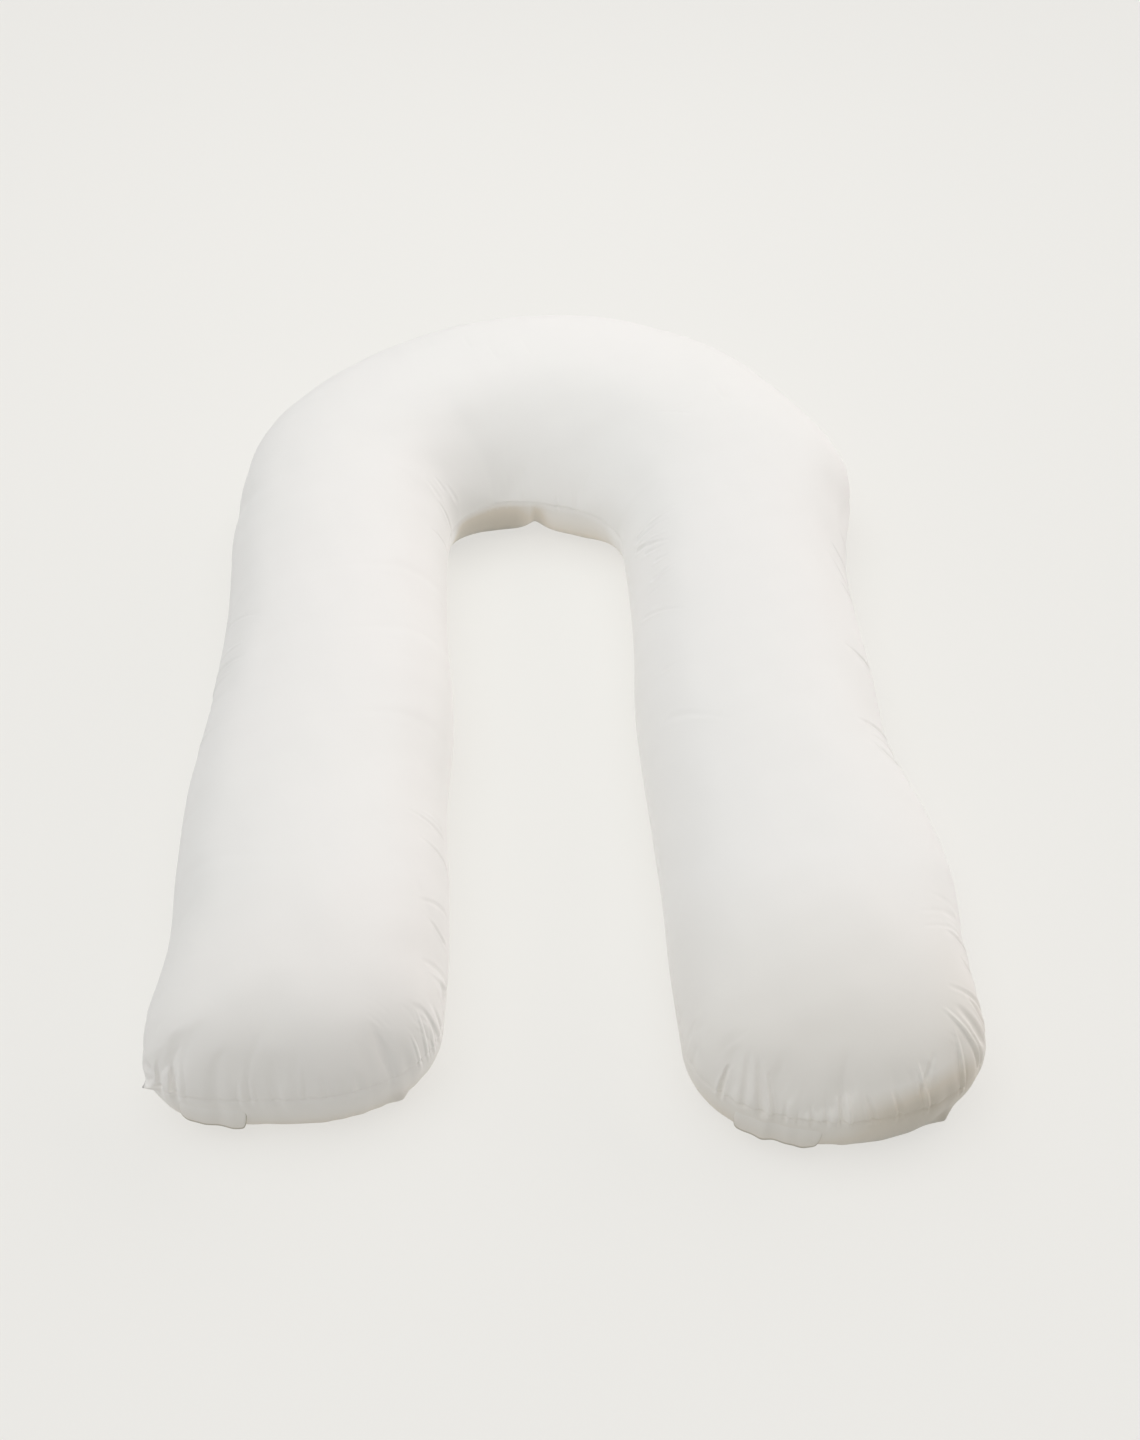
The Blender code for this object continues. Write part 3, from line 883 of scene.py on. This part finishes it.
def makePercale(name, look):
    material = bpy.data.materials.new(name)
    material.use_nodes = True
    tree = material.node_tree
    shader = tree.nodes["Principled BSDF"]
    shader.inputs["Roughness"].default_value = look["roughness"]
    shader.inputs["Sheen Weight"].default_value = look["sheen"]
    shader.inputs["Sheen Roughness"].default_value = 0.45
    shader.inputs["Specular IOR Level"].default_value = 0.35
    place = addNode(tree, "ShaderNodeTexCoord")
    drift = addNode(tree, "ShaderNodeTexNoise", {"Scale": look["driftScale"], "Detail": 2.0},
                    {"Vector": (place, "Object")})
    white = addNode(tree, "ShaderNodeMix",
                    {"data_type": "RGBA", 6: linear(look["white"]), 7: linear(look["shadeWhite"])},
                    {"Factor": (drift, "Fac")})
    # painted shade: a ramp on the shade depth that the mesh carries multiplies the white darker and warmer
    paintedShade = addNode(tree, "ShaderNodeAttribute", {"attribute_name": "paintedShade"})
    paintedShades = addNode(tree, "ShaderNodeValToRGB", None, {"Fac": (paintedShade, "Fac")})
    stops = paintedShades.color_ramp.elements
    while len(stops) < len(look["paintedShades"]):
        stops.new(0.5)
    for stop, (depth, colour) in zip(stops, look["paintedShades"]):
        stop.position = depth
        stop.color = linear(colour)
    tone = addNode(tree, "ShaderNodeMix", {"data_type": "RGBA", "blend_type": "MULTIPLY", "Factor": 1.0},
                   {6: (white, 2), 7: (paintedShades, "Color")})
    tree.links.new(tone.outputs[2], shader.inputs["Base Color"])
    threads = {"Scale": bandScale(look["threadPitch"]), "Distortion": 0.4}
    warp = addNode(tree, "ShaderNodeTexWave", dict(threads, bands_direction="X"), {"Vector": (place, "UV")})
    weft = addNode(tree, "ShaderNodeTexWave", dict(threads, bands_direction="Y"), {"Vector": (place, "UV")})
    weave = addNode(tree, "ShaderNodeMath", {"operation": "MULTIPLY"}, {0: (warp, "Fac"), 1: (weft, "Fac")})
    crumple = addNode(tree, "ShaderNodeTexNoise",
                      {"Scale": look["crumpleScale"], "Detail": 3.0, "Roughness": 0.5},
                      {"Vector": (place, "Object")})
    upright = addNode(tree, "ShaderNodeMapping", {"Scale": (1, 1, 0.12)}, {"Vector": (place, "Object")})
    folds = addNode(tree, "ShaderNodeTexNoise", {"Scale": look["puckerScale"], "Detail": 1.5},
                    {"Vector": (upright, "Vector")})
    evenly = addNode(tree, "ShaderNodeMath", {"operation": "SUBTRACT", 1: 0.5}, {0: (folds, "Fac")})
    bySeam = addNode(tree, "ShaderNodeAttribute", {"attribute_name": "bySeam"})
    puckers = addNode(tree, "ShaderNodeMath", {"operation": "MULTIPLY"}, {0: (evenly, 0), 1: (bySeam, "Fac")})
    drawn = addNode(tree, "ShaderNodeBump", {"Strength": 0.5, "Distance": look["puckerDepth"]},
                    {"Height": (puckers, 0)})
    soft = addNode(tree, "ShaderNodeBump", {"Strength": 0.35, "Distance": look["crumpleDepth"]},
                   {"Height": (crumple, "Fac"), "Normal": (drawn, "Normal")})
    bump = addNode(tree, "ShaderNodeBump", {"Strength": 0.5, "Distance": look["weaveDepth"]},
                   {"Height": (weave, 0), "Normal": (soft, "Normal")})
    tree.links.new(bump.outputs["Normal"], shader.inputs["Normal"])
    return material


# The floor: an opal acrylic light table, a pale greige panel that glows, so that hardly any shade lies on it
floorLook = {
    "colour": "#95948F",
    "glowColour": "#FFFEFC",
    "glow": 0.553,
    "roughness": 0.8,
    "size": 14.0,
    "under": 0.0005,                  # how far it lies below the pillow, so that the two don't share a plane
}


def makeFloor():
    board = bmesh.new()
    bmesh.ops.create_grid(board, x_segments=1, y_segments=1, size=floorLook["size"] / 2)
    bmesh.ops.translate(board, verts=board.verts, vec=(0, 0, -floorLook["under"]))
    floor = finishPiece("studio_floor", board)
    acrylic = bpy.data.materials.new("opalAcrylic")
    acrylic.use_nodes = True
    shader = acrylic.node_tree.nodes["Principled BSDF"]
    shader.inputs["Base Color"].default_value = linear(floorLook["colour"])
    shader.inputs["Roughness"].default_value = floorLook["roughness"]
    shader.inputs["Specular IOR Level"].default_value = 0
    shader.inputs["Emission Color"].default_value = linear(floorLook["glowColour"])
    shader.inputs["Emission Strength"].default_value = floorLook["glow"]
    floor.data.materials.append(acrylic)


# A roll of backdrop paper all round, in the floor's tone. Only the camera sees it; the light hardly changes
backdropLook = {"colour": "#ECEBE7", "radius": 6.9, "height": 9.0, "sides": 96, "under": 0.001}


def makeBackdrop():
    roll = bmesh.new()
    radius, height, sides = backdropLook["radius"], backdropLook["height"], backdropLook["sides"]
    bmesh.ops.create_cone(roll, cap_ends=False, segments=sides, radius1=radius, radius2=radius, depth=height)
    bmesh.ops.translate(roll, verts=roll.verts, vec=(0, 0, height / 2 - backdropLook["under"]))
    backdrop = finishPiece("studio_backdrop", roll)
    paper = bpy.data.materials.new("backdropPaper")
    paper.use_nodes = True
    shader = paper.node_tree.nodes["Principled BSDF"]
    shader.inputs["Base Color"].default_value = linear("#000000")
    shader.inputs["Specular IOR Level"].default_value = 0
    shader.inputs["Emission Color"].default_value = linear(backdropLook["colour"])
    shader.inputs["Emission Strength"].default_value = 1
    backdrop.data.materials.append(paper)
    backdrop.visible_diffuse = backdrop.visible_glossy = False
    backdrop.visible_transmission = backdrop.visible_shadow = False


# Soft lamps that throw no shadow, as the walls of a light tent, and one softbox behind the pillow that does
studio = {
    "surround": ("#FFFCF2", 0.11),
    "tent": [  # name, colour, strength, towards the lamp
        ("tentTop", "#FFFEFC", 1.52, (0, 0, 1)),
        ("tentFront", "#FFFEFA", 0.12, (0, -0.70, 0.70)),
        ("tentLeft", "#F4F8FF", 0.72, (-0.70, 0, 0.70)),
        ("tentBackRight", "#FFF8F8", 1.45, (0.80, 0.55, 0.21)),
    ],
    "tentSpan": 70,                   # degrees
    "softbox": {"place": (0, 1.3, 1.5), "aim": (0, 0.1, 0), "size": 1.2, "watts": 4.1},
}


def lightStudio():
    world = bpy.data.worlds.new("studioSurround")
    bpy.context.scene.world = world
    world.use_nodes = True
    background = world.node_tree.nodes["Background"]
    background.inputs["Color"].default_value = linear(studio["surround"][0])
    background.inputs["Strength"].default_value = studio["surround"][1]
    for name, colour, strength, towards in studio["tent"]:
        light = bpy.data.lights.new(name, "SUN")
        light.energy = strength
        light.angle = math.radians(studio["tentSpan"])
        light.color = linear(colour)[:3]
        light.use_shadow = False
        lamp = bpy.data.objects.new(name, light)
        lamp.rotation_euler = Vector(towards).to_track_quat("Z", "Y").to_euler()
        bpy.context.scene.collection.objects.link(lamp)
    box = studio["softbox"]
    light = bpy.data.lights.new("softbox", "AREA")
    light.energy = box["watts"]
    light.size = box["size"]
    lamp = bpy.data.objects.new("softbox", light)
    lamp.location = box["place"]
    lamp.rotation_euler = (Vector(box["place"]) - Vector(box["aim"])).to_track_quat("Z", "Y").to_euler()
    bpy.context.scene.collection.objects.link(lamp)
    bpy.context.scene.view_settings.view_transform = "Standard"   # whites stay white


view = {
    "place": (0.0084, -1.593, 1.5916),
    "down": 46.0,                # degrees below the horizon
    "turn": -0.0018,             # radians
    "roll": -0.0034,
    "focalPixels": 1700,
    "imageHeight": 1440,
}


def placeCamera(planShift):
    camera = bpy.data.cameras.new("camera")
    camera.sensor_fit = "VERTICAL"
    camera.sensor_height = 36
    camera.lens = view["focalPixels"] / view["imageHeight"] * camera.sensor_height
    holder = bpy.data.objects.new("camera", camera)
    holder.location = Vector(view["place"]) + planShift
    turned = Matrix.Rotation(view["turn"], 3, "Z") @ Matrix.Rotation(math.radians(90 - view["down"]), 3, "X")
    holder.rotation_euler = (turned @ Matrix.Rotation(view["roll"], 3, "Z")).to_euler()
    bpy.context.scene.collection.objects.link(holder)
    bpy.context.scene.camera = holder


def boxMiddle(low, high):
    return Vector(((low.x + high.x) / 2, (low.y + high.y) / 2, 0))


pillow = sewCover()
points = readPoints(pillow.data)
planShift = boxMiddle(*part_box("pillow")) - boxMiddle(Vector(points.min(axis=0)), Vector(points.max(axis=0)))
print("cover sewn: %d points, plan shifted by %.1f, %.1f mm" % (len(points), *(planShift.xy / millimetre)))
fillCover(pillow)
subdivideOnce(pillow)
refineCreases(pillow)
shapeByHand(pillow)
markCover(pillow)
pillow.data.transform(Matrix.Translation(planShift))
pillow.data.materials.clear()
pillow.data.materials.append(makePercale("cottonPercale", percale))
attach(pillow, "root")
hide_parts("pillow")
print("pillow finished: %d faces" % len(pillow.data.polygons))

wallTree = surfaceTree(pillow.data)
sections = sectionsAlongPillow()
hemCloth, thread = makePercale("foldedPercaleHem", hemPercale), makeThread(sewingThread)
for side, section in (("left", sections[0]), ("right", sections[-1])):
    place = hemPlacer(side, section, wallTree, planShift)
    hem, stitches = makeHem(side, place), makeTopstitching(side, place)
    hem.data.materials.append(hemCloth)
    stitches.data.materials.append(thread)
    for piece in (hem, stitches):
        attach(piece, "root")
    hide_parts("closing_lip_" + side)
    print("closing %s sewn: %d and %d faces" % (side, len(hem.data.polygons), len(stitches.data.polygons)))

makeFloor()
makeBackdrop()
lightStudio()
placeCamera(planShift)
